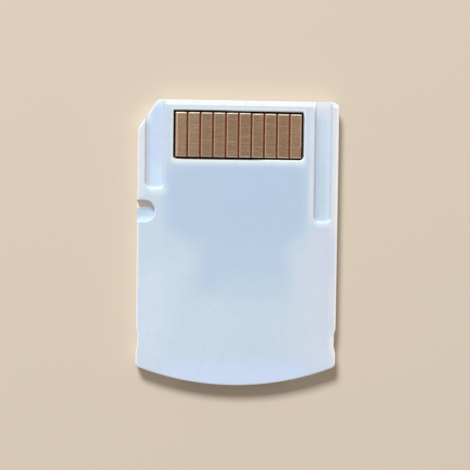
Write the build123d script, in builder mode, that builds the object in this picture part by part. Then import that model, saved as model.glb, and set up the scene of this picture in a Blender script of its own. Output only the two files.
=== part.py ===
from build123d import *
import os
from math import sqrt

# Memory card adapter: a flat two-part plastic casing that takes a micro memory card in its curved
# end and repeats the card's signals on ten contacts near its other end.
# Millimetres. The casing lies on its front face: X runs across it, Y towards the end that goes into
# the console, and Z up through its thickness. The origin is the middle of the footprint.

os.makedirs("parts", exist_ok=True)

# Casing outline
body_width = 22.0
body_length = 31.2
end_arc_radius = 30.0
end_corner_radius = 0.6
leading_corner_radius = 0.75
cut_corner_width = 2.2
cut_corner_length = 3.3
cut_corner_radius = 0.3

# Finger grips, shallow steps in both long edges
grip_depth = 0.17
grip_length = 1.3
grip_ramp = 0.75
grip_from_curved_end = 3.55
grip_ramp_radius = 0.5

# Casing thickness and walls
body_thickness = 2.1
front_thickness = 1.05
floor_thickness = 0.35
roof_thickness = 0.4
face_edge_radius = 0.18
lead_in_length = 0.55
lead_in_depth = 0.38
parting_bevel = 0.05

# Keying grooves in the back face, open at the leading end
groove_depth = 0.35
groove_wall_flat = 0.03
left_groove_width = 1.95
left_groove_length = 9.6
left_rim_width = 0.88
left_groove_radius = 0.6
right_groove_width = 1.76
right_groove_length = 13.1
right_rim_width = 0.84
right_groove_radius = 0.5

# Half-round locating notch in the left edge of the back shell
notch_radius = 1.1
notch_reach = 1.93
notch_from_leading_end = 12.12

# Contacts, and the window that shows them
pad_count = 10
pad_pitch = 1.4
pad_width = 1.2
pad_length = 4.9
pad_thickness = 0.035
pad_side_slope = 0.06
pad_end_slope = 0.1
window_side_border = 0.2
window_end_border = 0.175
window_from_leading_end = 1.17
window_leading_radius = 0.2
window_trailing_radius = 0.4

# Micro memory card that the adapter takes, contacts up, with its stepped side at the left
card_width = 11.0
card_length = 15.0
card_thickness = 0.7
card_nose_width = 9.7
card_nose_length = 6.4
card_lip_length = 1.8
card_corner_radius = 0.8
card_recess = 0.2
card_contacts = 8
card_contact_pitch = 1.1
slot_side_clearance = 0.1
slot_height_clearance = 0.15
slot_mouth_flare = 0.2

# Circuit board
board_thickness = 0.4
board_ledge = 0.4
board_to_leading_end = 0.9
board_behind_stop = 0.84
shoulder_width = 1.1
shoulder_length = 1.56
tongue_reach = 5.1
tongue_side_margin = 0.4
tongue_corner_radius = 0.3
board_clearance = 0.1

# Register lip and ribs of the front shell, which carry the board
lip_thickness = 0.5
rib_thickness = 0.5
rib_pitch = 2.9
rib_from_leading_end = 3.4
rib_to_chip = 0.5

# Pins of the back shell and their sockets
pin_diameter = 1.0
pin_length = 0.5
pin_bevel = 0.12
pin_from_side = 1.9
pin_from_curved_end = 4.3
pin_from_leading_end = 5.6
socket_clearance = 0.03
socket_spare_depth = 0.08

# Contact block, which carries the springs and stops the card
block_bar_depth = 1.0
block_plate_thickness = 0.16
block_plate_margin = 0.15
block_rail_width = 0.3
spring_slot_margin = 0.05
spring_slot_end_wall = 0.45
post_length = 0.55
post_width = 0.85

# Springs
spring_width = 0.5
spring_thickness = 0.1
spring_tail_length = 0.9
spring_root_length = 0.2
spring_arm_length = 3.0
spring_drop = 0.32
spring_toe_length = 0.8
spring_toe_rise = 0.28
spring_root_radius = 1.5
spring_toe_radius = 0.5

# Lands and chip capacitors on the underside of the board
land_thickness = 0.03
land_margin = 0.06
land_gap_to_block = 0.08
chip_length = 1.0
chip_width = 0.5
chip_height = 0.45
chip_cap_length = 0.22
chip_cap_thickness = 0.02
chip_land_length = 0.4
chip_spread = 5.0
chip_from_stop = 4.2

# Places that follow from the sizes above
side = body_width / 2
leading_end = body_length / 2
curved_end = -body_length / 2
end_corner_y = curved_end + end_arc_radius - sqrt(end_arc_radius**2 - side**2)
grip_low = curved_end + grip_from_curved_end
grip_high = grip_low + grip_length + 2 * grip_ramp

board_top = body_thickness - roof_thickness
board_bottom = board_top - board_thickness
land_bottom = board_bottom - land_thickness
groove_floor_z = body_thickness - groove_depth
groove_floor_bevel = groove_depth - face_edge_radius - groove_wall_flat
slot_top = floor_thickness + card_thickness + slot_height_clearance

window_width = (pad_count - 1) * pad_pitch + pad_width + 2 * window_side_border
window_length = pad_length + 2 * window_end_border
window_high = leading_end - window_from_leading_end
window_middle = window_high - window_length / 2

stop_y = curved_end + card_recess + card_length
nose_middle = (card_width - card_nose_width) / 2
nose_step_y = stop_y - card_nose_length + slot_side_clearance
slot_half_width = card_width / 2 + slot_side_clearance
slot_mouth_y = curved_end + end_arc_radius - sqrt(end_arc_radius**2 - slot_half_width**2)
floor_opening_end = curved_end + card_recess + card_lip_length + slot_side_clearance

board_half_width = window_width / 2 + board_ledge
board_high = leading_end - board_to_leading_end
board_low = stop_y + board_behind_stop
tongue_width = card_nose_width + 2 * tongue_side_margin
tongue_left = nose_middle - tongue_width / 2
tongue_right = nose_middle + tongue_width / 2
tongue_end = stop_y - tongue_reach

block_back = stop_y + block_bar_depth
block_front = tongue_end + block_plate_margin
post_back = block_back + post_length

spring_xs = [
    nose_middle + (index - (card_contacts - 1) / 2) * card_contact_pitch for index in range(card_contacts)
]
tail_middle_z = land_bottom - spring_thickness / 2
chip_y = stop_y + chip_from_stop
chip_xs = (nose_middle - chip_spread / 2, nose_middle + chip_spread / 2)
pin_x = side - pin_from_side
pin_ys = (curved_end + pin_from_curved_end, leading_end - pin_from_leading_end)
pin_places = [(x, y) for x in (-pin_x, pin_x) for y in pin_ys]
first_rib_y = leading_end - rib_from_leading_end
last_rib_y = chip_y + (chip_width + rib_thickness) / 2 + rib_to_chip
rib_ys = [first_rib_y - step * rib_pitch for step in range(1 + int((first_rib_y - last_rib_y) / rib_pitch))]


def casing_outline():
    """Outline of the casing: straight grips in the sides, one cut corner and a curved end."""
    right_rim = [
        (side, end_corner_y),
        (side, grip_low),
        (side - grip_depth, grip_low + grip_ramp),
        (side - grip_depth, grip_high - grip_ramp),
        (side, grip_high),
    ]
    left_rim = [(-x, y) for x, y in reversed(right_rim)]
    leading_rim = [
        (side, leading_end),
        (cut_corner_width - side, leading_end),
        (-side, leading_end - cut_corner_length),
    ]
    grip_radii = [grip_ramp_radius] * 4
    radii = grip_radii + [leading_corner_radius, cut_corner_radius, cut_corner_radius] + grip_radii
    with BuildSketch() as outline:
        with BuildLine():
            rim = FilletPolyline(*right_rim, *leading_rim, *left_rim, radius=radii)
            ThreePointArc(rim @ 1, (0, curved_end), rim @ 0)
        make_face()
        fillet(outline.vertices().group_by(Axis.Y)[0], end_corner_radius)
    return outline.sketch


def wide_outline(growth):
    """Outline of the board's wide part, down to its sloped shoulders, grown by the given amount."""
    half_width = board_half_width + growth
    low = board_low - growth
    right_rim = [
        (half_width - shoulder_width, low),
        (half_width, low + shoulder_length),
        (half_width, board_high + growth),
    ]
    left_rim = [(-x, y) for x, y in reversed(right_rim)]
    with BuildSketch() as outline:
        with BuildLine():
            Polyline(*right_rim, *left_rim, close=True)
        make_face()
    return outline.sketch


def board_outline(growth):
    """T-shaped outline of the board, grown by the given amount."""
    low = tongue_end - growth
    with BuildSketch() as outline:
        with Locations((nose_middle, low)):
            Rectangle(tongue_width + 2 * growth, board_high - low, align=(Align.CENTER, Align.MIN))
        fillet(outline.vertices().group_by(Axis.Y)[0], tongue_corner_radius + growth)
        add(wide_outline(growth))
    return outline.sketch


def bay_outline(growth=0.0):
    """Outline of the bay under the wide part of the board, as far as the posts behind the connector."""
    with BuildSketch() as outline:
        add(wide_outline(growth - lip_thickness))
        with Locations((0, post_back)):
            Rectangle(body_width, body_length, align=(Align.CENTER, Align.MAX), mode=Mode.SUBTRACT)
    return outline.sketch


def lip_outline():
    """Outline of the register lip: a strip round three sides of the bay, under the board's edge."""
    with BuildSketch() as outline:
        add(bay_outline(lip_thickness))
        add(bay_outline(), mode=Mode.SUBTRACT)
    return outline.sketch


def box_between(low, high, mode=Mode.ADD):
    """Block between two opposite corners, in the part that is being built."""
    size = [top - bottom for bottom, top in zip(low, high)]
    with Locations(low):
        Box(*size, align=(Align.MIN, Align.MIN, Align.MIN), mode=mode)


# Room of the two grooves, past the leading end, bevelled round its floor
with BuildPart() as grooves:
    with BuildSketch(Plane.XY.offset(groove_floor_z)) as groove_sketch:
        with Locations((left_rim_width - side, leading_end - left_groove_length)):
            Rectangle(left_groove_width, body_length, align=(Align.MIN, Align.MIN))
        with Locations((side - right_rim_width, leading_end - right_groove_length)):
            Rectangle(right_groove_width, body_length, align=(Align.MAX, Align.MIN))
        left_closed_end = groove_sketch.vertices().sort_by(Axis.X)[:4].sort_by(Axis.Y)[:2]
        fillet(left_closed_end, left_groove_radius)
        right_closed_end = groove_sketch.vertices().sort_by(Axis.X)[-4:].sort_by(Axis.Y)[:2]
        fillet(right_closed_end, right_groove_radius)
    extrude(amount=body_thickness)
    chamfer(grooves.faces().group_by(Axis.Z)[0].edges(), groove_floor_bevel)

# Outer form, with the grooves, the notch and the window
with BuildPart() as casing:
    with BuildSketch():
        add(casing_outline())
    extrude(amount=body_thickness)
    add(grooves.part, mode=Mode.SUBTRACT)
    # Outer edges of the grooves' floors, at the leading end and along the cut corner
    floor_edges = casing.edges().filter_by_position(Axis.Z, groove_floor_z, groove_floor_z)
    fillet(
        floor_edges.filter_by_position(Axis.Y, leading_end - cut_corner_length / 2, leading_end),
        face_edge_radius,
    )
    with BuildSketch(Plane.YZ):
        for face_z, bevel_z in ((0, lead_in_depth), (body_thickness, body_thickness - lead_in_depth)):
            with BuildLine():
                Polyline(
                    (leading_end, face_z),
                    (leading_end - lead_in_length, face_z),
                    (leading_end, bevel_z),
                    close=True,
                )
            make_face()
    extrude(amount=side, both=True, mode=Mode.SUBTRACT)
    with BuildSketch(Plane.XY.offset(front_thickness)):
        with Locations((notch_reach - side - notch_radius, leading_end - notch_from_leading_end)):
            Circle(notch_radius)
            Rectangle(side, 2 * notch_radius, align=(Align.MAX, Align.CENTER))
    extrude(amount=body_thickness, mode=Mode.SUBTRACT)
    with BuildSketch(Plane.XY.offset(board_top)) as window_sketch:
        with Locations((0, window_middle)):
            Rectangle(window_width, window_length)
        fillet(window_sketch.vertices().group_by(Axis.Y)[-1], window_leading_radius)
        fillet(window_sketch.vertices().group_by(Axis.Y)[0], window_trailing_radius)
    extrude(amount=body_thickness, mode=Mode.SUBTRACT)
    fillet(casing.faces().sort_by(Axis.Z)[-1].edges(), face_edge_radius)
    fillet(casing.faces().sort_by(Axis.Z)[0].edges(), face_edge_radius)

# Hollow inside: the card slot, the board's pocket and the bay under the board
with BuildPart() as hollow:
    box_between((-slot_half_width, 2 * curved_end, floor_thickness), (slot_half_width, nose_step_y, slot_top))
    box_between(
        (nose_middle - card_nose_width / 2 - slot_side_clearance, nose_step_y, floor_thickness),
        (slot_half_width, stop_y, slot_top),
    )
    box_between(
        (tongue_left - board_clearance, stop_y, floor_thickness),
        (tongue_right + board_clearance, block_back, front_thickness),
    )
    box_between(
        (tongue_left + post_width, block_back, floor_thickness),
        (tongue_right - post_width, post_back, front_thickness),
    )
    with BuildSketch(Plane.XY.offset(floor_thickness)):
        add(bay_outline())
    extrude(amount=front_thickness - floor_thickness)
    with BuildSketch(Plane.XY.offset(front_thickness)):
        add(board_outline(board_clearance))
    extrude(amount=board_top - front_thickness)
    # Opening in the floor for the thick lip at the card's outer end
    with BuildSketch() as floor_opening:
        with Locations((0, floor_opening_end)):
            Rectangle(2 * slot_half_width, body_length, align=(Align.CENTER, Align.MAX))
        fillet(floor_opening.vertices().group_by(Axis.Y)[-1], card_corner_radius)
    extrude(amount=floor_thickness)
    # Flare of the slot's mouth, at 45 degrees from where the curved end meets the slot's sides
    with BuildSketch():
        with BuildLine():
            Polyline(
                (slot_half_width, slot_mouth_y + slot_mouth_flare),
                (slot_half_width + 2 * slot_mouth_flare, slot_mouth_y - slot_mouth_flare),
                (-slot_half_width - 2 * slot_mouth_flare, slot_mouth_y - slot_mouth_flare),
                (-slot_half_width, slot_mouth_y + slot_mouth_flare),
                close=True,
            )
        make_face()
    extrude(amount=slot_top)

with BuildPart() as back_shell:
    add(casing.part)
    split(bisect_by=Plane.XY.offset(front_thickness), keep=Keep.TOP)
    chamfer(back_shell.faces().sort_by(Axis.Z)[0].edges(), parting_bevel)
    add(hollow.part, mode=Mode.SUBTRACT)
    with BuildSketch(Plane.XY.offset(front_thickness)):
        with Locations(pin_places):
            Circle(pin_diameter / 2)
    extrude(amount=-pin_length)
    chamfer(back_shell.faces().group_by(Axis.Z)[0].edges(), pin_bevel)

with BuildPart() as front_shell:
    add(casing.part)
    split(bisect_by=Plane.XY.offset(front_thickness), keep=Keep.BOTTOM)
    chamfer(front_shell.faces().sort_by(Axis.Z)[-1].edges(), parting_bevel)
    add(hollow.part, mode=Mode.SUBTRACT)
    # Register lip, which stands inside the back shell and carries the board's edge
    with BuildSketch(Plane.XY.offset(front_thickness)):
        add(lip_outline())
    extrude(amount=board_bottom - front_thickness)
    # Ribs across the bay, which hold the board up under the contacts
    with BuildSketch(Plane.XY.offset(floor_thickness)):
        with Locations([(0, y) for y in rib_ys]):
            Rectangle(2 * (board_half_width - lip_thickness / 2), rib_thickness)
    extrude(amount=board_bottom - floor_thickness)
    with BuildSketch(Plane.XY.offset(front_thickness)):
        with Locations(pin_places):
            Circle(pin_diameter / 2 + socket_clearance)
    extrude(amount=-(pin_length + socket_spare_depth), mode=Mode.SUBTRACT)

with BuildPart() as circuit_board:
    with BuildSketch(Plane.XY.offset(board_bottom)):
        add(board_outline(0))
    extrude(amount=board_thickness)

# Insulator: a bar that the card meets, and a slotted plate over the card's contacts
with BuildPart() as contact_block:
    box_between((tongue_left, stop_y, floor_thickness), (tongue_right, block_back, board_bottom))
    box_between(
        (tongue_left, block_front, board_bottom - block_plate_thickness),
        (tongue_right, stop_y, board_bottom),
    )
    for rail_left in (tongue_left, tongue_right - block_rail_width):
        rail_right = rail_left + block_rail_width
        box_between((rail_left, block_front, front_thickness), (rail_right, stop_y, board_bottom))
    spring_half_slot = spring_width / 2 + spring_slot_margin
    for spring_x in spring_xs:
        box_between(
            (spring_x - spring_half_slot, block_front + spring_slot_end_wall, floor_thickness),
            (spring_x + spring_half_slot, stop_y, board_bottom),
            mode=Mode.SUBTRACT,
        )
        box_between(
            (spring_x - spring_half_slot, stop_y, tail_middle_z - spring_thickness / 2),
            (spring_x + spring_half_slot, block_back, board_bottom),
            mode=Mode.SUBTRACT,
        )

# Springs: a flat tail under its land, a root in the bar, and an arm that bends down to the card
springs = []
for spring_x in spring_xs:
    root_y = stop_y - spring_root_length
    heel_y = root_y - spring_arm_length
    with BuildPart() as spring:
        with BuildLine(Plane.YZ.offset(spring_x)) as strip_line:
            FilletPolyline(
                (block_back + spring_tail_length, tail_middle_z),
                (root_y, tail_middle_z),
                (heel_y, tail_middle_z - spring_drop),
                (heel_y - spring_toe_length, tail_middle_z - spring_drop + spring_toe_rise),
                radius=[spring_root_radius, spring_toe_radius],
            )
        with BuildSketch(Plane(strip_line.line @ 0, x_dir=(1, 0, 0), z_dir=strip_line.line % 0)):
            Rectangle(spring_width, spring_thickness)
        sweep()
    springs.append(spring)

# Contacts: flat plates of plating, whose edges slope down to the board
pads = []
for index in range(pad_count):
    pad_x = (index - (pad_count - 1) / 2) * pad_pitch
    with BuildPart() as pad:
        with BuildSketch(Plane.XY.offset(board_top)):
            with Locations((pad_x, window_middle)):
                Rectangle(pad_width, pad_length)
        with BuildSketch(Plane.XY.offset(board_top + pad_thickness)):
            with Locations((pad_x, window_middle)):
                Rectangle(pad_width - 2 * pad_side_slope, pad_length - 2 * pad_end_slope)
        loft()
    pads.append(pad)

with BuildPart() as solder_lands:
    with BuildSketch(Plane.XY.offset(land_bottom)):
        land_low = block_back + land_gap_to_block
        land_high = block_back + spring_tail_length + land_margin
        with Locations([(x, (land_low + land_high) / 2) for x in spring_xs]):
            Rectangle(spring_width + 2 * land_margin, land_high - land_low)
        chip_land_offset = (chip_length - chip_land_length) / 2 + land_margin
        with Locations([(x + end * chip_land_offset, chip_y) for x in chip_xs for end in (-1, 1)]):
            Rectangle(chip_land_length, chip_width + 2 * land_margin)
    extrude(amount=land_thickness)

capacitors = []
for chip_x in chip_xs:
    with BuildPart() as capacitor:
        with Locations((chip_x, chip_y, land_bottom)):
            Box(
                chip_length,
                chip_width - 2 * chip_cap_thickness,
                chip_height,
                align=(Align.CENTER, Align.CENTER, Align.MAX),
            )
        for end in (-1, 1):
            cap_x = chip_x + end * (chip_length - chip_cap_length) / 2
            with Locations((cap_x, chip_y, land_bottom)):
                Box(
                    chip_cap_length,
                    chip_width,
                    chip_height + chip_cap_thickness,
                    align=(Align.CENTER, Align.CENTER, Align.MAX),
                )
    capacitors.append(capacitor)

pieces = {
    "back_shell": back_shell,
    "front_shell": front_shell,
    "circuit_board": circuit_board,
    "contact_block": contact_block,
    "solder_lands": solder_lands,
}
pieces.update({f"contact_pad_{number}": pad for number, pad in enumerate(pads, 1)})
pieces.update({f"spring_contact_{number}": spring for number, spring in enumerate(springs, 1)})
pieces.update({f"capacitor_{number}": capacitor for number, capacitor in enumerate(capacitors, 1)})

for name, piece in pieces.items():
    piece.part.label = name
    export_step(piece.part, f"parts/{name}.step")
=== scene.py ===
"""Looks of a memory card adapter: plastics, board, contacts and springs, in a plain studio.

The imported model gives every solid. This script dresses each one with a procedural finish, adds the
beads of solder that are too fine for the solids, and sets up the light and the camera.
Positions inside the materials are in millimetres from the middle of the footprint.
"""

import logging
import math
from dataclasses import dataclass, field
from enum import Enum

import bmesh
import bpy
from mathutils import Euler, Matrix, Vector


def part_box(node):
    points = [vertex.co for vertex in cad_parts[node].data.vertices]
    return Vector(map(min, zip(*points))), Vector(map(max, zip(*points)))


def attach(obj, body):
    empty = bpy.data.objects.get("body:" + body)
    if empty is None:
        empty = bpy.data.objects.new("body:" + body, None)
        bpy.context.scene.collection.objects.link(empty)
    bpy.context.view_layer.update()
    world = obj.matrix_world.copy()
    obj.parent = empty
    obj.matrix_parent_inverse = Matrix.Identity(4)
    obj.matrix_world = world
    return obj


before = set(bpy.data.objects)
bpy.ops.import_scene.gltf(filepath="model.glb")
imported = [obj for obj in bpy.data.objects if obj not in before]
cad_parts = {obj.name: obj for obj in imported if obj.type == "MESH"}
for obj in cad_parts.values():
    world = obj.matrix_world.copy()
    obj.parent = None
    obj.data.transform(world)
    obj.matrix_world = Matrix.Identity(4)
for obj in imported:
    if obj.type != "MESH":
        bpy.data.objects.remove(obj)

MM = 0.001
BODY = "root"
LOG = logging.getLogger("adapter")

Colour = tuple[float, float, float, float]
Point = tuple[float, float, float]
Pair = tuple[float, float]
Feed = float | Point | Colour | bpy.types.NodeSocket


def written(red: int, green: int, blue: int) -> Colour:
    """Turns a colour as it is written for a screen into a linear one.

    Args:
        red: red, from 0 to 255.
        green: green, from 0 to 255.
        blue: blue, from 0 to 255.

    Returns:
        The linear colour, with full alpha.
    """
    toe, slope, offset, power = 0.04045, 12.92, 0.055, 2.4
    shares = (value / 255 for value in (red, green, blue))
    linear = [s / slope if s <= toe else ((s + offset) / (1 + offset)) ** power for s in shares]
    return (linear[0], linear[1], linear[2], 1.0)


class Slot(Enum):
    """Material slots of the record."""

    CASING = "casing_plastic"
    BOARD = "board"
    GOLD = "gold_contact"
    INSULATOR = "insulator"
    SPRING = "spring_metal"
    TIN = "tin"
    CERAMIC = "ceramic"


class Socket(Enum):
    """Kinds of socket on the shared node groups."""

    NUMBER = "NodeSocketFloat"
    VECTOR = "NodeSocketVector"


class Blend(Enum):
    """Ways to lay one colour over another."""

    OVER = "MIX"
    MULTIPLY = "MULTIPLY"


class Wiring:
    """Adds nodes to one node tree and joins them."""

    def __init__(self, tree: bpy.types.NodeTree) -> None:
        """Keeps the tree that the nodes go into."""
        self.tree = tree

    def add(self, kind: str, **settings: object) -> bpy.types.Node:
        """Adds one node.

        Args:
            kind: the node's type.
            **settings: properties to set on it.

        Returns:
            The new node.
        """
        node = self.tree.nodes.new(kind)
        for name, value in settings.items():
            setattr(node, name, value)
        return node

    def feed(self, socket: bpy.types.NodeSocket, value: Feed) -> None:
        """Joins an input to an output, or gives it a value of its own.

        Args:
            socket: the input.
            value: an output of another node, a number, a vector or a colour.
        """
        if isinstance(value, bpy.types.NodeSocket):
            self.tree.links.new(value, socket)
        else:
            socket.default_value = value

    def math(self, operation: str, *values: Feed) -> bpy.types.NodeSocket:
        """Adds a sum on numbers.

        Args:
            operation: what the Math node does.
            *values: its inputs, in order.

        Returns:
            The result.
        """
        node = self.add("ShaderNodeMath", operation=operation)
        for socket, value in zip(node.inputs, values):
            self.feed(socket, value)
        return node.outputs[0]

    def vector(self, operation: str, *values: Feed) -> bpy.types.NodeSocket:
        """Adds a sum on vectors.

        Args:
            operation: what the Vector Math node does.
            *values: its vector inputs, in order.

        Returns:
            The result.
        """
        node = self.add("ShaderNodeVectorMath", operation=operation)
        for socket, value in zip(node.inputs, values):
            self.feed(socket, value)
        return node.outputs[0]

    def position(self) -> bpy.types.NodeSocket:
        """Place on the object in millimetres, which the finishes are drawn by."""
        place = self.add("ShaderNodeTexCoord").outputs["Object"]
        return self.vector("DIVIDE", place, (MM, MM, MM))

    def smooth_step(self, value: Feed, start: float, end: float) -> bpy.types.NodeSocket:
        """Turns a number into a share that runs smoothly from 0 at start to 1 at end.

        Args:
            value: the number.
            start: where the share is 0.
            end: where the share is 1.

        Returns:
            The share.
        """
        step = self.add("ShaderNodeMapRange", interpolation_type="SMOOTHSTEP")
        self.feed(step.inputs["Value"], value)
        self.feed(step.inputs["From Min"], start)
        self.feed(step.inputs["From Max"], end)
        return step.outputs["Result"]

    def noise(self, position: Feed, scale: Feed, detail: float) -> bpy.types.NodeSocket:
        """Adds noise.

        Args:
            position: where it is read, in millimetres.
            scale: how many features a millimetre holds.
            detail: octaves of finer noise.

        Returns:
            The noise, around 0.5.
        """
        cloud = self.add("ShaderNodeTexNoise")
        self.feed(cloud.inputs["Vector"], position)
        self.feed(cloud.inputs["Scale"], scale)
        self.feed(cloud.inputs["Detail"], detail)
        return cloud.outputs["Fac"]

    def lay(self, share: Feed, under: Feed, over: Feed, way: Blend = Blend.OVER) -> bpy.types.NodeSocket:
        """Lays one colour over another.

        Args:
            share: how much of the upper colour shows.
            under: the lower colour.
            over: the upper colour.
            way: how they join.

        Returns:
            The joined colour.
        """
        mix = self.add("ShaderNodeMix", data_type="RGBA", blend_type=way.value)
        colour_inputs = [s for s in mix.inputs if s.type == "RGBA"]
        self.feed(mix.inputs["Factor"], share)
        self.feed(colour_inputs[0], under)
        self.feed(colour_inputs[1], over)
        return next(s for s in mix.outputs if s.type == "RGBA")

    def use(self, group: bpy.types.NodeTree, **values: Feed) -> bpy.types.NodeSocket:
        """Places a shared node group.

        Args:
            group: the group.
            **values: its inputs by name.

        Returns:
            The group's output.
        """
        node = self.add("ShaderNodeGroup", node_tree=group)
        for name, value in values.items():
            self.feed(node.inputs[name], value)
        return node.outputs[0]


class Effects:
    """Node groups that several finishes share, each built once."""

    half_fade: float = 0.5
    cloud_detail: float = 3.0
    cloud_limits: Pair = (0.3, 0.7)
    grain_detail: float = 4.0
    rub_detail: float = 2.0
    rub_limits: Pair = (0.45, 0.75)

    def __init__(self) -> None:
        """Builds the groups."""
        self.soft_patch = self._soft_patch()
        self.cloud = self._cloud()
        self.grain = self._grain()
        self.rubbed = self._rubbed()

    @staticmethod
    def _start(
        name: str, inputs: dict[str, Socket], output: str
    ) -> tuple[Wiring, dict[str, bpy.types.NodeSocket], bpy.types.NodeSocket]:
        """Starts a node group.

        Args:
            name: the group's name.
            inputs: the kind of each input by name.
            output: the name of its one output, a number.

        Returns:
            The wiring of the group, its inputs by name as they are read inside, and the output to feed.
        """
        tree = bpy.data.node_groups.new(name, "ShaderNodeTree")
        for label, kind in inputs.items():
            tree.interface.new_socket(name=label, in_out="INPUT", socket_type=kind.value)
        tree.interface.new_socket(name=output, in_out="OUTPUT", socket_type=Socket.NUMBER.value)
        wiring = Wiring(tree)
        entry = wiring.add("NodeGroupInput")
        leave = wiring.add("NodeGroupOutput")
        return wiring, {label: entry.outputs[label] for label in inputs}, leave.inputs[output]

    def _soft_patch(self) -> bpy.types.NodeTree:
        """Mask of a block whose edges fade out over a length of their own along each axis."""
        inputs = dict.fromkeys(("position", "middle", "half_size", "fade"), Socket.VECTOR)
        wiring, given, mask = self._start("soft_patch", inputs, "mask")
        away = wiring.vector("ABSOLUTE", wiring.vector("SUBTRACT", given["position"], given["middle"]))
        beyond = wiring.vector("DIVIDE", wiring.vector("SUBTRACT", away, given["half_size"]), given["fade"])
        split = wiring.add("ShaderNodeSeparateXYZ")
        wiring.feed(split.inputs[0], beyond)
        shares = [wiring.smooth_step(axis, self.half_fade, -self.half_fade) for axis in split.outputs]
        flat = wiring.math("MULTIPLY", shares[0], shares[1])
        wiring.feed(mask, wiring.math("MULTIPLY", flat, shares[2]))
        return wiring.tree

    def _cloud(self) -> bpy.types.NodeTree:
        """Slow mottling, as a share that covers most of 0 to 1."""
        inputs = {"position": Socket.VECTOR, "scale": Socket.NUMBER}
        wiring, given, share = self._start("cloud", inputs, "share")
        noise = wiring.noise(given["position"], given["scale"], self.cloud_detail)
        wiring.feed(share, wiring.smooth_step(noise, *self.cloud_limits))
        return wiring.tree

    def _grain(self) -> bpy.types.NodeTree:
        """Height of a fine moulded or etched texture."""
        inputs = {"position": Socket.VECTOR, "scale": Socket.NUMBER}
        wiring, given, height = self._start("grain", inputs, "height")
        wiring.feed(height, wiring.noise(given["position"], given["scale"], self.grain_detail))
        return wiring.tree

    def _rubbed(self) -> bpy.types.NodeTree:
        """Fine streaks, long on the axis that has the smaller number, or specks if both are alike."""
        inputs = {"position": Socket.VECTOR, "across": Socket.NUMBER, "along": Socket.NUMBER}
        wiring, given, share = self._start("rubbed", inputs, "share")
        pull = wiring.add("ShaderNodeCombineXYZ")
        for socket, name in zip(pull.inputs, ("across", "along", "across")):
            wiring.feed(socket, given[name])
        place = wiring.vector("MULTIPLY", given["position"], pull.outputs[0])
        noise = wiring.noise(place, 1.0, self.rub_detail)
        wiring.feed(share, wiring.smooth_step(noise, *self.rub_limits))
        return wiring.tree


@dataclass(frozen=True)
class Gloss:
    """Numbers of a finish that are the same all over it, set on the shader's own sockets."""

    roughness: float
    metallic: float = 0.0
    ior: float = 1.5
    scatter: float = 0.0
    scatter_depth_mm: float = 0.5


@dataclass(frozen=True)
class Texture:
    """Bump of a finish: features a millimetre, and how high they stand."""

    scale: float
    height_mm: float


@dataclass(frozen=True)
class TintPatch:
    """Block in which a finish takes another colour, in millimetres."""

    middle: Point
    half_size: Point
    fade: Point
    tint: Colour


@dataclass(frozen=True)
class Layer:
    """Level slice of the object in which patches lie, in millimetres."""

    height: float
    half_height: float
    fade: float

    def patch(self, middle: Pair, half_size: Pair, fade: float | Pair, tint: Colour) -> TintPatch:
        """Lays out a patch in this slice.

        Args:
            middle: middle of the patch in X and Y.
            half_size: half of its size in X and Y.
            fade: length over which its edges fade, one for both axes or one each.
            tint: its colour.

        Returns:
            The patch.
        """
        level_fade = fade if isinstance(fade, tuple) else (fade, fade)
        return TintPatch(
            (*middle, self.height), (*half_size, self.half_height), (*level_fade, self.fade), tint
        )


@dataclass(frozen=True)
class Rubbing:
    """Fine streaks or specks of another colour: how much shows, and how many a millimetre holds."""

    tint: Colour
    share: float
    across: float
    along: float


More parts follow.
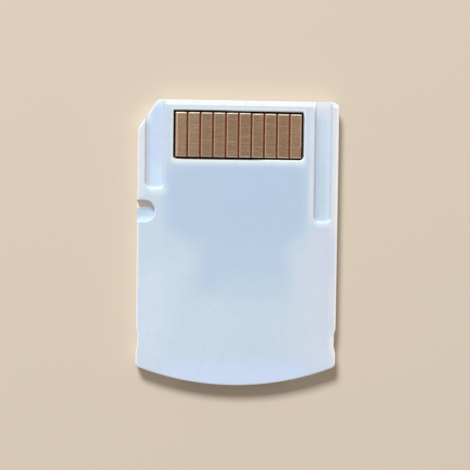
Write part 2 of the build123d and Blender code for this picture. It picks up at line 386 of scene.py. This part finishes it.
@dataclass(frozen=True)
class Finish:
    """One finish: a ground colour, patches laid over it, rubbing, mottling, gloss and texture."""

    name: str
    ground: Colour
    gloss: Gloss
    texture: Texture
    mottle: Colour
    mottle_scale: float
    patches: tuple[TintPatch, ...] = ()
    rubbing: Rubbing | None = None
    roughness_swing: float = 0.06

    def make(self, effects: Effects) -> bpy.types.Material:
        """Builds the material.

        Args:
            effects: the shared node groups.

        Returns:
            The material.
        """
        material = bpy.data.materials.new(self.name)
        material.use_nodes = True
        wiring = Wiring(material.node_tree)
        shader = material.node_tree.nodes["Principled BSDF"]
        position = wiring.position()
        cloud = wiring.use(effects.cloud, position=position, scale=self.mottle_scale)
        wiring.feed(shader.inputs["Base Color"], self._colour(wiring, effects, position, cloud))
        self._set_gloss(wiring, shader, cloud)
        self._set_texture(wiring, effects, shader, position)
        return material

    def _colour(
        self, wiring: Wiring, effects: Effects, position: bpy.types.NodeSocket, cloud: bpy.types.NodeSocket
    ) -> bpy.types.NodeSocket:
        """Lays the patches, the rubbing and the mottling over the ground.

        Args:
            wiring: the material's wiring.
            effects: the shared node groups.
            position: place on the object in millimetres.
            cloud: slow mottling, from 0 to 1.

        Returns:
            The colour.
        """
        colour: Feed = self.ground
        for patch in self.patches:
            mask = wiring.use(
                effects.soft_patch,
                position=position,
                middle=patch.middle,
                half_size=patch.half_size,
                fade=patch.fade,
            )
            colour = wiring.lay(mask, colour, patch.tint)
        if self.rubbing:
            rub = self.rubbing
            lines = wiring.use(effects.rubbed, position=position, across=rub.across, along=rub.along)
            colour = wiring.lay(wiring.math("MULTIPLY", lines, rub.share), colour, rub.tint)
        return wiring.lay(cloud, colour, self.mottle, Blend.MULTIPLY)

    def _set_gloss(self, wiring: Wiring, shader: bpy.types.Node, cloud: bpy.types.NodeSocket) -> None:
        """Sets how the surface shines, a little rougher where the mottling is strong.

        Args:
            wiring: the material's wiring.
            shader: the Principled shader.
            cloud: slow mottling, from 0 to 1.
        """
        swing = wiring.math("MULTIPLY_ADD", cloud, self.roughness_swing, self.gloss.roughness)
        wiring.feed(shader.inputs["Roughness"], swing)
        shader.inputs["Metallic"].default_value = self.gloss.metallic
        shader.inputs["IOR"].default_value = self.gloss.ior
        shader.inputs["Subsurface Weight"].default_value = self.gloss.scatter
        shader.inputs["Subsurface Radius"].default_value = (1.0, 1.0, 1.0)
        shader.inputs["Subsurface Scale"].default_value = self.gloss.scatter_depth_mm * MM

    def _set_texture(
        self, wiring: Wiring, effects: Effects, shader: bpy.types.Node, position: bpy.types.NodeSocket
    ) -> None:
        """Adds the fine texture as a bump.

        Args:
            wiring: the material's wiring.
            effects: the shared node groups.
            shader: the Principled shader.
            position: place on the object in millimetres.
        """
        bump = wiring.add("ShaderNodeBump")
        bump.inputs["Distance"].default_value = self.texture.height_mm * MM
        height = wiring.use(effects.grain, position=position, scale=self.texture.scale)
        wiring.feed(bump.inputs["Height"], height)
        wiring.feed(shader.inputs["Normal"], bump.outputs["Normal"])


# Sizes that the patches are drawn to, in millimetres
HALF_WIDTH = 11.0
HALF_LENGTH = 15.6
THICKNESS = 2.1
WINDOW_MIDDLE_Y = 11.805

# Slices of the casing, from the back face down to the front face
ROOF = Layer(THICKNESS, 0.02, 0.03)
WINDOW_LIP = Layer(2.03, 0.06, 0.02)
OUTLINE_EDGE = Layer(2.0, 0.1, 0.02)
LIT_WALL = Layer(1.93, 0.2, 0.06)
GROOVE_EDGE = Layer(1.93, 0.16, 0.04)
SHADED_WALL = Layer(1.9, 0.2, 0.06)
BEVEL = Layer(1.9, 0.2, 0.04)
GROOVE_LOW_EDGE = Layer(1.8, 0.08, 0.02)
GROOVE_FLOOR = Layer(1.75, 0.02, 0.02)
GROOVE_FLOOR_EDGE = Layer(1.68, 0.1, 0.02)
NOTCH_EDGE = Layer(1.58, 0.5, 0.04)
NOTCH_WALL = Layer(1.57, 0.48, 0.06)
NOTCH_FLOOR = Layer(1.05, 0.04, 0.08)
FRONT = Layer(0.0, 0.04, 0.08)

# Slices of the board's bare laminate and of the contacts
LAMINATE = Layer(1.7, 0.04, 0.02)
CONTACTS = Layer(1.7, 0.1, 0.02)

# Plastic of the casing. It is whitest in its rounded edges and walls, partly its own colour and partly a
# painted highlight where light catches them.
# The flat faces, which are thin over the hollow, are bluer, and the dark board shows faintly through the
# roof.
CASING_PLASTIC = Finish(
    name="milky_plastic",
    ground=written(244, 245, 245),
    gloss=Gloss(roughness=0.36, ior=1.49, scatter=0.25, scatter_depth_mm=0.3),
    texture=Texture(scale=9.0, height_mm=0.003),
    patches=(
        # Back face: the thin roof, its whiter rims, with painted highlights along the right edge, and the
        # slow drift of its colour
        ROOF.patch((-0.3, 0.0), (10.6, HALF_LENGTH), 0.6, written(200, 216, 229)),
        ROOF.patch((0.0, -10.5), (9.0, 3.5), 4.0, written(201, 217, 230)),
        ROOF.patch((0.0, 14.9), (HALF_WIDTH, 0.25), 0.3, written(212, 222, 229)),
        ROOF.patch((-10.7, 8.0), (0.5, 5.0), 0.5, written(218, 226, 233)),
        ROOF.patch((10.6, 0.0), (0.4, HALF_LENGTH), 0.7, written(223, 226, 230)),
        ROOF.patch((10.9, 0.0), (0.2, HALF_LENGTH), 0.2, written(236, 234, 235)),
        ROOF.patch((8.4, -7.0), (2.4, 5.5), 5.0, written(209, 218, 230)),
        ROOF.patch((10.8, -11.4), (0.35, 1.2), 0.7, written(250, 246, 242)),
        ROOF.patch((9.2, -1.0), (1.6, 2.6), 2.0, written(209, 215, 228)),
        ROOF.patch((-9.6, -8.0), (2.2, 5.5), 5.0, written(208, 222, 238)),
        ROOF.patch((0.0, -14.9), (8.5, 1.8), 3.0, written(206, 220, 243)),
        ROOF.patch((9.6, -12.6), (1.6, 1.4), 3.0, written(211, 220, 233)),
        # Shade of the board: its tongue, and its wide part with sloped shoulders
        ROOF.patch((0.55, -1.3), (4.9, 4.1), 2.9, written(188, 206, 227)),
        ROOF.patch((1.4, -4.6), (3.6, 1.1), 2.4, written(193, 212, 227)),
        ROOF.patch((-0.18, 4.9), (7.72, 3.65), (1.8, 3.0), written(183, 203, 225)),
        ROOF.patch((-0.1, 4.25), (6.2, 3.95), (2.6, 3.0), written(183, 203, 225)),
        # Painted highlights along the window, the closed ends of the grooves and the left lip of the right
        # groove, where light catches the edges; a less blue band above the notch
        ROOF.patch((0.0, 11.8), (7.3, 2.9), 0.4, written(226, 235, 241)),
        ROOF.patch((0.0, 8.9), (7.3, 0.2), (0.5, 0.9), written(228, 236, 241)),
        ROOF.patch((-8.9, 5.85), (0.9, 0.35), 1.2, written(234, 245, 249)),
        ROOF.patch((9.3, 2.4), (0.8, 0.3), 0.9, written(236, 244, 250)),
        ROOF.patch((8.05, 8.6), (0.25, 6.2), 0.7, written(214, 223, 231)),
        ROOF.patch((-9.9, 4.85), (1.1, 0.15), 0.5, written(210, 214, 221)),
        # Painted shade: a dark line on the thin lip of the window, standing in for the dark gap to the
        # black board below, broadest at its left end
        WINDOW_LIP.patch((-7.1, 11.8), (0.05, 2.7), (0.02, 0.1), written(54, 48, 46)),
        WINDOW_LIP.patch((7.1, 11.8), (0.065, 2.3), (0.02, 0.4), written(54, 48, 46)),
        WINDOW_LIP.patch((-2.2, 9.18), (4.6, 0.08), (2.4, 0.02), written(40, 34, 32)),
        WINDOW_LIP.patch((-3.9, 14.43), (3.1, 0.06), (2.0, 0.02), written(54, 48, 46)),
        # Lead-in bevel, and the rounded upper edges of the grooves and the notch
        BEVEL.patch((0.0, 15.36), (11.2, 0.32), (0.1, 0.06), written(222, 227, 228)),
        GROOVE_EDGE.patch((-9.1, 10.4), (1.2, 4.75), 0.1, written(213, 229, 234)),
        GROOVE_EDGE.patch((9.25, 8.8), (1.2, 6.65), 0.1, written(213, 229, 234)),
        GROOVE_LOW_EDGE.patch((-9.1, 10.4), (1.2, 4.75), 0.1, written(197, 217, 231)),
        GROOVE_LOW_EDGE.patch((9.25, 8.8), (1.2, 6.65), 0.1, written(190, 210, 225)),
        NOTCH_EDGE.patch((-9.9, 3.5), (1.6, 1.4), 0.1, written(212, 230, 234)),
        # Painted light: a lighter, warmer tone on the notch's upper wall, which lies in shadow
        NOTCH_WALL.patch((-10.1, 4.6), (1.2, 0.5), (0.2, 0.4), written(232, 234, 232)),
        # Rounded edges of the outline along both long sides, with a painted highlight on the right one,
        # which faces away from the lamp
        OUTLINE_EDGE.patch((HALF_WIDTH, 0.0), (0.2, HALF_LENGTH), (0.04, 0.1), written(255, 250, 246)),
        OUTLINE_EDGE.patch((-HALF_WIDTH, 0.0), (0.2, HALF_LENGTH), (0.04, 0.1), written(240, 233, 230)),
        # Walls of the grooves: those in shadow, with painted light near the leading end where their shadow
        # thins out, and those that face the light, toned darker
        SHADED_WALL.patch((-10.15, 10.8), (0.2, 4.6), (0.06, 0.4), written(228, 230, 232)),
        SHADED_WALL.patch((-10.15, 13.9), (0.2, 0.9), (0.06, 1.0), written(255, 255, 255)),
        SHADED_WALL.patch((8.38, 9.2), (0.2, 6.4), (0.06, 0.4), written(217, 218, 228)),
        SHADED_WALL.patch((8.38, 15.0), (0.2, 0.5), (0.06, 0.8), written(246, 250, 252)),
        LIT_WALL.patch((-8.1, 10.8), (0.2, 4.6), (0.1, 0.4), written(203, 216, 233)),
        LIT_WALL.patch((10.2, 9.2), (0.15, 6.4), (0.1, 0.4), written(203, 214, 224)),
        # Floors of the grooves, with painted shade along the foot of each left wall, which stands in
        # shadow, painted light near the leading end of the left groove where that shadow thins out, and
        # lighter tones along the right wall of the right groove and at the leading ends
        GROOVE_FLOOR.patch((-9.0, 10.8), (1.1, 5.2), 0.2, written(200, 216, 239)),
        GROOVE_FLOOR.patch((-8.9, 7.2), (0.7, 1.4), (0.9, 2.4), written(203, 225, 243)),
        GROOVE_FLOOR.patch((-9.95, 9.4), (0.25, 3.6), (0.6, 1.0), written(190, 202, 218)),
        GROOVE_FLOOR.patch((-9.8, 14.1), (0.3, 1.0), (0.6, 1.0), written(216, 229, 248)),
        GROOVE_FLOOR.patch((-8.8, 15.4), (1.3, 0.5), 1.0, written(222, 236, 246)),
        GROOVE_FLOOR.patch((9.2, 9.0), (1.1, 7.0), 0.2, written(200, 216, 232)),
        GROOVE_FLOOR.patch((9.2, 6.0), (1.0, 3.0), (0.8, 3.0), written(192, 211, 225)),
        GROOVE_FLOOR.patch((8.5, 9.0), (0.35, 7.0), 0.9, written(186, 198, 214)),
        GROOVE_FLOOR.patch((10.0, 9.0), (0.25, 7.0), 0.9, written(208, 221, 236)),
        GROOVE_FLOOR.patch((9.4, 14.9), (1.3, 0.9), 1.5, written(217, 221, 232)),
        GROOVE_FLOOR.patch((9.3, 15.3), (1.3, 0.25), 0.8, written(232, 237, 241)),
        GROOVE_FLOOR_EDGE.patch((0.0, 15.56), (11.2, 0.12), (0.1, 0.06), written(232, 230, 226)),
        # Floor of the notch: in the wall's shadow, painted lighter and warmer there, then lit, then painted
        # light along the near edge
        NOTCH_FLOOR.patch((-9.9, 3.5), (1.4, 1.3), 0.1, written(190, 205, 223)),
        NOTCH_FLOOR.patch((-9.9, 4.23), (1.4, 0.5), 0.2, written(248, 240, 236)),
        NOTCH_FLOOR.patch((-10.1, 2.5), (1.4, 0.15), 0.9, written(214, 232, 241)),
        # Front face, with a fainter shade of the board
        FRONT.patch((0.0, -0.6), (10.2, 15.2), 0.8, written(200, 215, 228)),
        FRONT.patch((0.4, 2.0), (6.5, 7.0), 3.5, written(192, 209, 226)),
    ),
    mottle=(0.975, 0.98, 0.99, 1.0),
    mottle_scale=0.16,
    rubbing=Rubbing(written(166, 184, 206), share=0.1, across=1.6, along=1.6),
)

# Black solder mask, with the bare red-brown laminate between the contacts
SOLDER_MASK = Finish(
    name="black_solder_mask",
    ground=written(4, 3, 3),
    gloss=Gloss(roughness=0.8, ior=1.15),
    texture=Texture(scale=6.0, height_mm=0.004),
    patches=(
        LAMINATE.patch((0.0, WINDOW_MIDDLE_Y), (6.84, 2.42), (0.03, 0.05), written(104, 62, 42)),
    ),
    mottle=(0.7, 0.66, 0.64, 1.0),
    mottle_scale=1.6,
)

# Contacts: dull brown-grey gold, with painted highlights along both edges and at both ends of each, and
# dark lines at their ends
PAD_COUNT = 10
PAD_PITCH = 1.4
PAD_MIDDLES = [PAD_PITCH * (number - (PAD_COUNT - 1) / 2) for number in range(PAD_COUNT)]
LEFT_EDGE_LINE = -0.55
RIGHT_EDGE_LINE = 0.5
DULL_GOLD = Finish(
    name="dull_gold",
    ground=written(141, 115, 92),
    gloss=Gloss(roughness=0.4, metallic=0.7),
    texture=Texture(scale=14.0, height_mm=0.0025),
    patches=(
        CONTACTS.patch((-6.3, 11.8), (2.0, 2.6), (1.0, 0.1), written(149, 126, 101)),
        CONTACTS.patch((6.8, 11.8), (1.2, 2.6), (1.6, 0.1), written(151, 124, 95)),
        *(
            CONTACTS.patch(
                (x + LEFT_EDGE_LINE, WINDOW_MIDDLE_Y), (0.06, 2.4), (0.05, 0.06), written(196, 158, 134)
            )
            for x in PAD_MIDDLES
        ),
        *(
            CONTACTS.patch(
                (x + RIGHT_EDGE_LINE, WINDOW_MIDDLE_Y), (0.1, 2.4), (0.1, 0.06), written(158, 123, 102)
            )
            for x in PAD_MIDDLES
        ),
        CONTACTS.patch((-6.73, 11.8), (0.05, 2.4), 0.06, written(216, 186, 162)),
        CONTACTS.patch((6.86, 12.4), (0.08, 1.8), (0.08, 0.6), written(206, 172, 150)),
        CONTACTS.patch((-2.8, 14.2), (4.2, 0.06), 0.04, written(250, 238, 222)),
        CONTACTS.patch((4.2, 14.13), (2.8, 0.06), 0.04, written(244, 230, 212)),
        CONTACTS.patch((4.2, 14.23), (2.8, 0.04), (0.04, 0.03), written(60, 50, 42)),
        CONTACTS.patch((0.0, 9.46), (7.0, 0.06), (0.04, 0.05), written(190, 170, 150)),
        CONTACTS.patch((-4.2, 9.41), (2.8, 0.05), 0.04, written(34, 26, 22)),
        CONTACTS.patch((0.0, 9.36), (7.0, 0.05), (0.04, 0.03), written(20, 16, 14)),
    ),
    mottle=(0.8, 0.79, 0.79, 1.0),
    mottle_scale=4.0,
    rubbing=Rubbing(written(188, 166, 138), share=0.4, across=0.5, along=7.5),
    roughness_swing=0.08,
)

BLACK_INSULATOR = Finish(
    name="black_insulator",
    ground=written(26, 26, 28),
    gloss=Gloss(roughness=0.5),
    texture=Texture(scale=12.0, height_mm=0.004),
    mottle=(0.8, 0.8, 0.82, 1.0),
    mottle_scale=0.8,
)

SPRING_GOLD = Finish(
    name="gold_flash_spring",
    ground=written(206, 172, 112),
    gloss=Gloss(roughness=0.28, metallic=1.0),
    texture=Texture(scale=18.0, height_mm=0.0012),
    mottle=(0.9, 0.87, 0.82, 1.0),
    mottle_scale=1.5,
    rubbing=Rubbing(written(222, 200, 160), share=0.5, across=20.0, along=0.8),
)

SOLDER_TIN = Finish(
    name="solder_tin",
    ground=written(196, 198, 200),
    gloss=Gloss(roughness=0.3, metallic=1.0),
    texture=Texture(scale=7.0, height_mm=0.004),
    mottle=(0.84, 0.84, 0.86, 1.0),
    mottle_scale=2.0,
)

CHIP_CERAMIC = Finish(
    name="chip_ceramic",
    ground=written(168, 138, 104),
    gloss=Gloss(roughness=0.5),
    texture=Texture(scale=16.0, height_mm=0.003),
    mottle=(0.86, 0.85, 0.84, 1.0),
    mottle_scale=3.0,
)


class Dresser:
    """Keeps one material per slot and puts it on the solids and on new pieces."""

    def __init__(self, effects: Effects) -> None:
        """Builds the material of each slot."""
        finishes = {
            Slot.CASING: CASING_PLASTIC,
            Slot.BOARD: SOLDER_MASK,
            Slot.GOLD: DULL_GOLD,
            Slot.INSULATOR: BLACK_INSULATOR,
            Slot.SPRING: SPRING_GOLD,
            Slot.TIN: SOLDER_TIN,
            Slot.CERAMIC: CHIP_CERAMIC,
        }
        self.materials = {slot: finish.make(effects) for slot, finish in finishes.items()}

    def dress_node(self, name: str, slot: Slot) -> bpy.types.Object:
        """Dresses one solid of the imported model.

        Args:
            name: the solid's name.
            slot: the slot whose material it gets.

        Returns:
            The solid's object.
        """
        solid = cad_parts[name]
        for holder in solid.material_slots:
            holder.material = self.materials[slot]
        return solid

    def new_piece(self, name: str, shape: bmesh.types.BMesh, slot: Slot) -> bpy.types.Object:
        """Makes a piece from a built mesh, dresses it and lets it ride on the body.

        Args:
            name: the piece's name.
            shape: its mesh, in metres, which is freed.
            slot: the slot whose material it gets.

        Returns:
            The piece.
        """
        mesh = bpy.data.meshes.new(name)
        bmesh.ops.recalc_face_normals(shape, faces=shape.faces)
        shape.to_mesh(mesh)
        shape.free()
        mesh.shade_smooth()
        mesh.materials.append(self.materials[slot])
        piece = bpy.data.objects.new(name, mesh)
        bpy.context.scene.collection.objects.link(piece)
        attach(piece, BODY)
        return piece


@dataclass
class Casing:
    """Moulded casing: the back and front shells."""

    shells: tuple[str, ...] = ("back_shell", "front_shell")

    def build(self, dresser: Dresser) -> list[bpy.types.Object]:
        """Dresses both shells and returns them."""
        return [dresser.dress_node(name, Slot.CASING) for name in self.shells]


@dataclass
class ContactRow:
    """The ten contacts in the window."""

    count: int = PAD_COUNT

    def build(self, dresser: Dresser) -> list[bpy.types.Object]:
        """Dresses the contacts and returns them."""
        return [dresser.dress_node(f"contact_pad_{n}", Slot.GOLD) for n in range(1, self.count + 1)]


# Signs of the corners of a ring, anticlockwise, and the gap between a part and its bead
CORNER_SIGNS = ((1, 1), (-1, 1), (-1, -1), (1, -1))
BEAD_GAP = 0.005


@dataclass
class SolderBead:
    """Concave bead of solder round a part that stands on a land, in millimetres."""

    middle: Point
    inner: Pair
    outer: Pair
    rise: float
    rings: int = 5
    corner_steps: int = 4
    corner_share: float = 0.3

    def add_to(self, shape: bmesh.types.BMesh) -> None:
        """Adds the bead's rings to a mesh, from the land to the top of the part.

        Args:
            shape: the mesh, in metres.
        """
        loops = []
        for ring in range(self.rings):
            share = ring / (self.rings - 1)
            spread = (1 - share) ** 2
            half_x = self.inner[0] + (self.outer[0] - self.inner[0]) * spread
            half_y = self.inner[1] + (self.outer[1] - self.inner[1]) * spread
            loops.append(self._ring(shape, half_x, half_y, self.rise * share))
        for low, high in zip(loops, loops[1:]):
            for index, vertex in enumerate(low):
                following = (index + 1) % len(low)
                shape.faces.new((vertex, low[following], high[following], high[index]))
        shape.faces.new(loops[0])
        shape.faces.new(loops[-1])

    def _ring(
        self, shape: bmesh.types.BMesh, half_x: float, half_y: float, rise: float
    ) -> list[bmesh.types.BMVert]:
        """Adds one rounded ring.

        Args:
            shape: the mesh, in metres.
            half_x: half of the ring's width.
            half_y: half of the ring's length.
            rise: how far it stands from the land.

        Returns:
            The ring's vertices in order.
        """
        radius = self.corner_share * min(half_x, half_y)
        ring = []
        for corner, (sign_x, sign_y) in enumerate(CORNER_SIGNS):
            for step in range(self.corner_steps + 1):
                angle = math.pi / 2 * (corner + step / self.corner_steps)
                x = self.middle[0] + sign_x * (half_x - radius) + radius * math.cos(angle)
                y = self.middle[1] + sign_y * (half_y - radius) + radius * math.sin(angle)
                ring.append(shape.verts.new(Vector((x, y, self.middle[2] - rise)) * MM))
        return ring


@dataclass
class BoardAssembly:
    """Circuit board with its lands, its two chip capacitors and their solder."""

    capacitors: int = 2
    cap_half_length: float = 0.11
    bead_reach: float = 0.12
    bead_rise: float = 0.2

    def build(self, dresser: Dresser) -> list[bpy.types.Object]:
        """Dresses the board and what stands on it, and adds the solder of the chips.

        Args:
            dresser: the finishes.

        Returns:
            The pieces.
        """
        pieces = [dresser.dress_node("circuit_board", Slot.BOARD)]
        pieces.append(dresser.dress_node("solder_lands", Slot.TIN))
        shape = bmesh.new()
        for number in range(1, self.capacitors + 1):
            name = f"capacitor_{number}"
            pieces.append(dresser.dress_node(name, Slot.CERAMIC))
            low, high = (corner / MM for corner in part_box(name))
            self._bead(low, high, -1).add_to(shape)
            self._bead(low, high, 1).add_to(shape)
        pieces.append(dresser.new_piece("chip_solder", shape, Slot.TIN))
        return pieces

    def _bead(self, low: Vector, high: Vector, end: int) -> SolderBead:
        """Solder round one end of a chip.

        Args:
            low: the chip's lowest corner, in millimetres.
            high: the chip's highest corner, in millimetres.
            end: -1 for its left end and 1 for its right end.

        Returns:
            The bead.
        """
        half_x, half_y = self.cap_half_length, (high.y - low.y) / 2
        middle_x = (high.x - half_x) if end > 0 else (low.x + half_x)
        return SolderBead(
            middle=(middle_x, (low.y + high.y) / 2, high.z),
            inner=(half_x + BEAD_GAP, half_y + BEAD_GAP),
            outer=(half_x + self.bead_reach, half_y + self.bead_reach / 2),
            rise=self.bead_rise,
        )


@dataclass
class CardConnector:
    """Contact block with its eight springs, soldered to the board by their tails."""

    springs: int = 8
    tail_length: float = 0.82
    tail_half_width: float = 0.25
    bead_reach: float = 0.05
    bead_rise: float = 0.075

    def build(self, dresser: Dresser) -> list[bpy.types.Object]:
        """Dresses the block and the springs, and adds the solder of their tails.

        Args:
            dresser: the finishes.

        Returns:
            The pieces.
        """
        pieces = [dresser.dress_node("contact_block", Slot.INSULATOR)]
        land_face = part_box("solder_lands")[0].z / MM
        shape = bmesh.new()
        for number in range(1, self.springs + 1):
            name = f"spring_contact_{number}"
            pieces.append(dresser.dress_node(name, Slot.SPRING))
            low, high = (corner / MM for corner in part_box(name))
            half_length = self.tail_length / 2
            SolderBead(
                middle=((low.x + high.x) / 2, high.y - half_length, land_face),
                inner=(self.tail_half_width + BEAD_GAP, half_length + BEAD_GAP),
                outer=(self.tail_half_width + self.bead_reach, half_length + self.bead_reach),
                rise=self.bead_rise,
            ).add_to(shape)
        pieces.append(dresser.new_piece("tail_solder", shape, Slot.TIN))
        return pieces


@dataclass
class Lamp:
    """Square soft lamp that lights the object from one side."""

    towards: Point = (-0.34, 0.92, 1.0)
    distance: float = 1.0
    size: float = 0.25
    level: float = 0.68
    colour: tuple[float, float, float] = (0.975, 1.0, 1.025)

    def build(self) -> None:
        """Hangs the lamp so that it lights a level white surface to the given level."""
        direction = Vector(self.towards).normalized()
        data = bpy.data.lights.new("soft_lamp", "AREA")
        data.size = self.size
        data.energy = self.level * math.pi**2 * self.distance**2 / direction.z
        data.color = self.colour
        lamp = bpy.data.objects.new("soft_lamp", data)
        lamp.matrix_world = Matrix.Translation(direction * self.distance) @ (
            direction.to_track_quat("Z", "Y").to_matrix().to_4x4()
        )
        bpy.context.scene.collection.objects.link(lamp)


@dataclass
class Studio:
    """Plain pale floor, a soft lamp and even light from all round."""

    floor_radius: float = 1.6
    floor_sides: int = 96
    floor_colour: Colour = written(214, 200, 182)
    floor_roughness: float = 0.85
    floor_specular: float = 0.2
    backdrop: Colour = written(226, 218, 208)
    sky: Colour = (0.375, 0.355, 0.335, 1.0)
    lamp: Lamp = field(default_factory=Lamp)

    def build(self) -> None:
        """Lays the floor, lights the sky and hangs the lamp."""
        self._lay_floor()
        self._light_sky()
        self.lamp.build()
        bpy.context.scene.view_settings.view_transform = "Standard"

    def _lay_floor(self) -> None:
        """Lays a round floor under the object."""
        shape = bmesh.new()
        ring = []
        for side in range(self.floor_sides):
            angle = 2 * math.pi * side / self.floor_sides
            place = (self.floor_radius * math.cos(angle), self.floor_radius * math.sin(angle), 0.0)
            ring.append(shape.verts.new(place))
        shape.faces.new(ring)
        mesh = bpy.data.meshes.new("floor")
        shape.to_mesh(mesh)
        shape.free()
        material = bpy.data.materials.new("pale_floor")
        material.use_nodes = True
        shader = material.node_tree.nodes["Principled BSDF"]
        shader.inputs["Base Color"].default_value = self.floor_colour
        shader.inputs["Roughness"].default_value = self.floor_roughness
        shader.inputs["Specular IOR Level"].default_value = self.floor_specular
        mesh.materials.append(material)
        floor = bpy.data.objects.new("floor", mesh)
        bpy.context.scene.collection.objects.link(floor)

    def _light_sky(self) -> None:
        """Lights the world evenly, and shows the backdrop's colour to the camera and in reflections."""
        world = bpy.data.worlds.new("studio")
        world.use_nodes = True
        bpy.context.scene.world = world
        wiring = Wiring(world.node_tree)
        path = wiring.add("ShaderNodeLightPath")
        seen = wiring.math("MAXIMUM", path.outputs["Is Camera Ray"], path.outputs["Is Glossy Ray"])
        seen = wiring.math("MAXIMUM", seen, path.outputs["Is Transmission Ray"])
        shown = wiring.lay(seen, self.sky, self.backdrop)
        wiring.feed(world.node_tree.nodes["Background"].inputs["Color"], shown)


@dataclass
class PhotoCamera:
    """Camera at the place from which the photograph was taken, found from the casing's outline."""

    focal_px: float = 1300.0
    frame_px: float = 470.0
    sensor_mm: float = 36.0
    aim: Point = (-0.1328, 0.8527, 0.0)
    distance: float = 144.095
    turn: Point = (-0.038383, -0.067523, 0.013897)
    nearest_m: float = 0.005

    def build(self) -> None:
        """Sets up the camera and makes it the scene's."""
        data = bpy.data.cameras.new("photo_camera")
        data.sensor_width = self.sensor_mm
        data.lens = self.sensor_mm * self.focal_px / self.frame_px
        data.clip_start = self.nearest_m
        camera = bpy.data.objects.new("photo_camera", data)
        turn = Euler(self.turn, "XYZ").to_matrix()
        place = Vector(self.aim) + turn @ Vector((0.0, 0.0, self.distance))
        camera.matrix_world = Matrix.Translation(place * MM) @ turn.to_4x4()
        bpy.context.scene.collection.objects.link(camera)
        bpy.context.scene.camera = camera


def main() -> None:
    """Builds the sub-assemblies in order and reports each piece."""
    logging.basicConfig(level=logging.INFO, format="%(name)s: %(message)s")
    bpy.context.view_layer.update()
    dresser = Dresser(Effects())
    for assembly in (Casing(), ContactRow(), BoardAssembly(), CardConnector()):
        for piece in assembly.build(dresser):
            LOG.info("%s: %s, %d faces", type(assembly).__name__, piece.name, len(piece.data.polygons))
    Studio().build()
    PhotoCamera().build()


if __name__ == "__main__":
    main()
